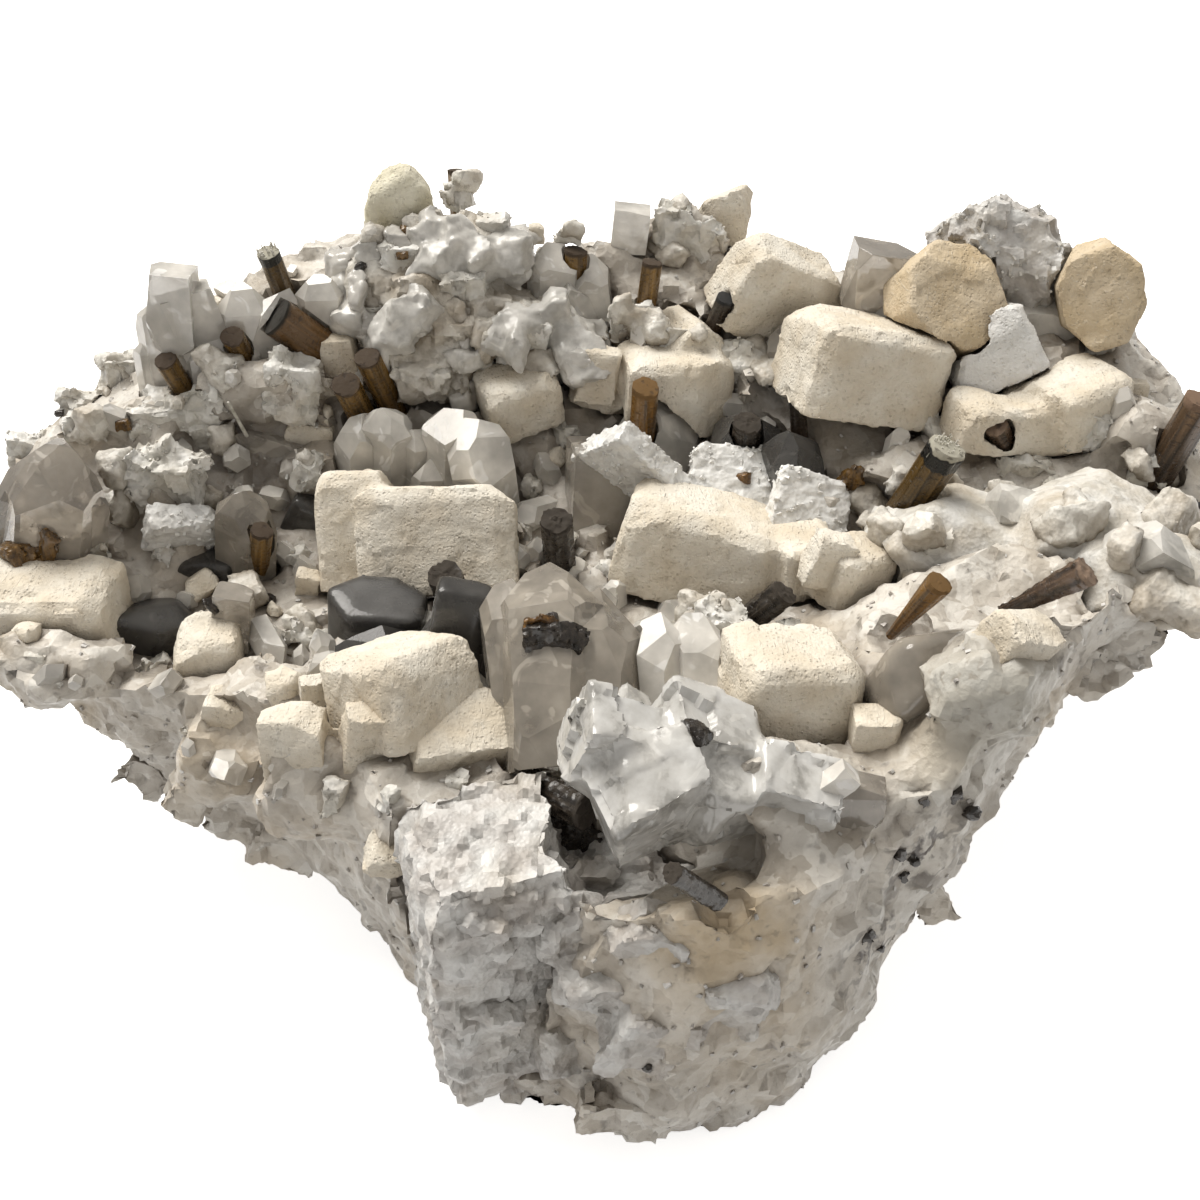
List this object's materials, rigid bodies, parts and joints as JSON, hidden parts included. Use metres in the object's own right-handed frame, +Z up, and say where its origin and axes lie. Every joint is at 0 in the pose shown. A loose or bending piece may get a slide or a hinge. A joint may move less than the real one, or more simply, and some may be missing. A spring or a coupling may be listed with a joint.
{
  "type": "mineral specimen",
  "caption": "Rough mineral specimen: a rocky plate crowded with blocky cream feldspar, smoky quartz points, white albite and small brown tourmaline prisms.",
  "frame": {"origin": "middle of the bounding box in plan, on the surface that the specimen stands on", "axes": "+Z up; +X along the specimen's longest side, to the right as it is seen from its front; the front, with the keel, faces -Y"},
  "size_m": [0.1978, 0.1467, 0.097],
  "materials": {
    "tourmaline": "glassy, lengthwise striations",
    "quartz": "translucent smoky, polished natural faces",
    "feldspar": "matt, finely pitted",
    "albite": "sugary, slightly glistening",
    "matrix": "rough broken rock"
  },
  "bodies": {
    "root": {"albite_back_right": "albite", "albite_keel_block": "albite", "albite_middle_mound": "albite", "albite_right_crust": "albite", "feldspar_back_slab": "feldspar", "feldspar_big_block": "feldspar", "feldspar_cream_step": "feldspar", "feldspar_far_left": "feldspar", "feldspar_far_right": "feldspar", "feldspar_far_shard": "feldspar", "feldspar_front_cube": "feldspar", "feldspar_front_right": "feldspar", "feldspar_hexagon": "feldspar", "feldspar_keystone": "feldspar", "feldspar_left_block": "feldspar", "feldspar_left_rim": "feldspar", "feldspar_middle": "feldspar", "feldspar_plate": "feldspar", "feldspar_right_steps": "feldspar", "feldspar_white_slab": "feldspar", "matrix": "matrix", "quartz_back_blades": "quartz", "quartz_dark_pool": "quartz", "quartz_far_dome": "quartz", "quartz_far_points": "quartz", "quartz_front_cluster": "quartz", "quartz_front_giant": "quartz", "quartz_front_twins": "quartz", "quartz_left_middle": "quartz", "quartz_left_point": "quartz", "quartz_middle": "quartz", "quartz_pair": "quartz", "quartz_slim_pair": "quartz", "quartz_smoky_dome": "quartz", "quartz_twins": "quartz", "tourmaline_01": "tourmaline", "tourmaline_02": "tourmaline", "tourmaline_03": "tourmaline", "tourmaline_04": "tourmaline", "tourmaline_05": "tourmaline", "tourmaline_06": "tourmaline", "tourmaline_07": "tourmaline", "tourmaline_08": "tourmaline", "tourmaline_09": "tourmaline", "tourmaline_10": "tourmaline", "tourmaline_11": "tourmaline", "tourmaline_12": "tourmaline", "tourmaline_13": "tourmaline", "tourmaline_14": "tourmaline", "tourmaline_15": "tourmaline", "tourmaline_16": "tourmaline", "tourmaline_17": "tourmaline", "tourmaline_18": "tourmaline", "tourmaline_19": "tourmaline", "tourmaline_20": "tourmaline", "tourmaline_21": "tourmaline", "tourmaline_22": "tourmaline", "tourmaline_23": "tourmaline", "tourmaline_24": "tourmaline", "tourmaline_25": "tourmaline"}
  },
  "joints": []
}
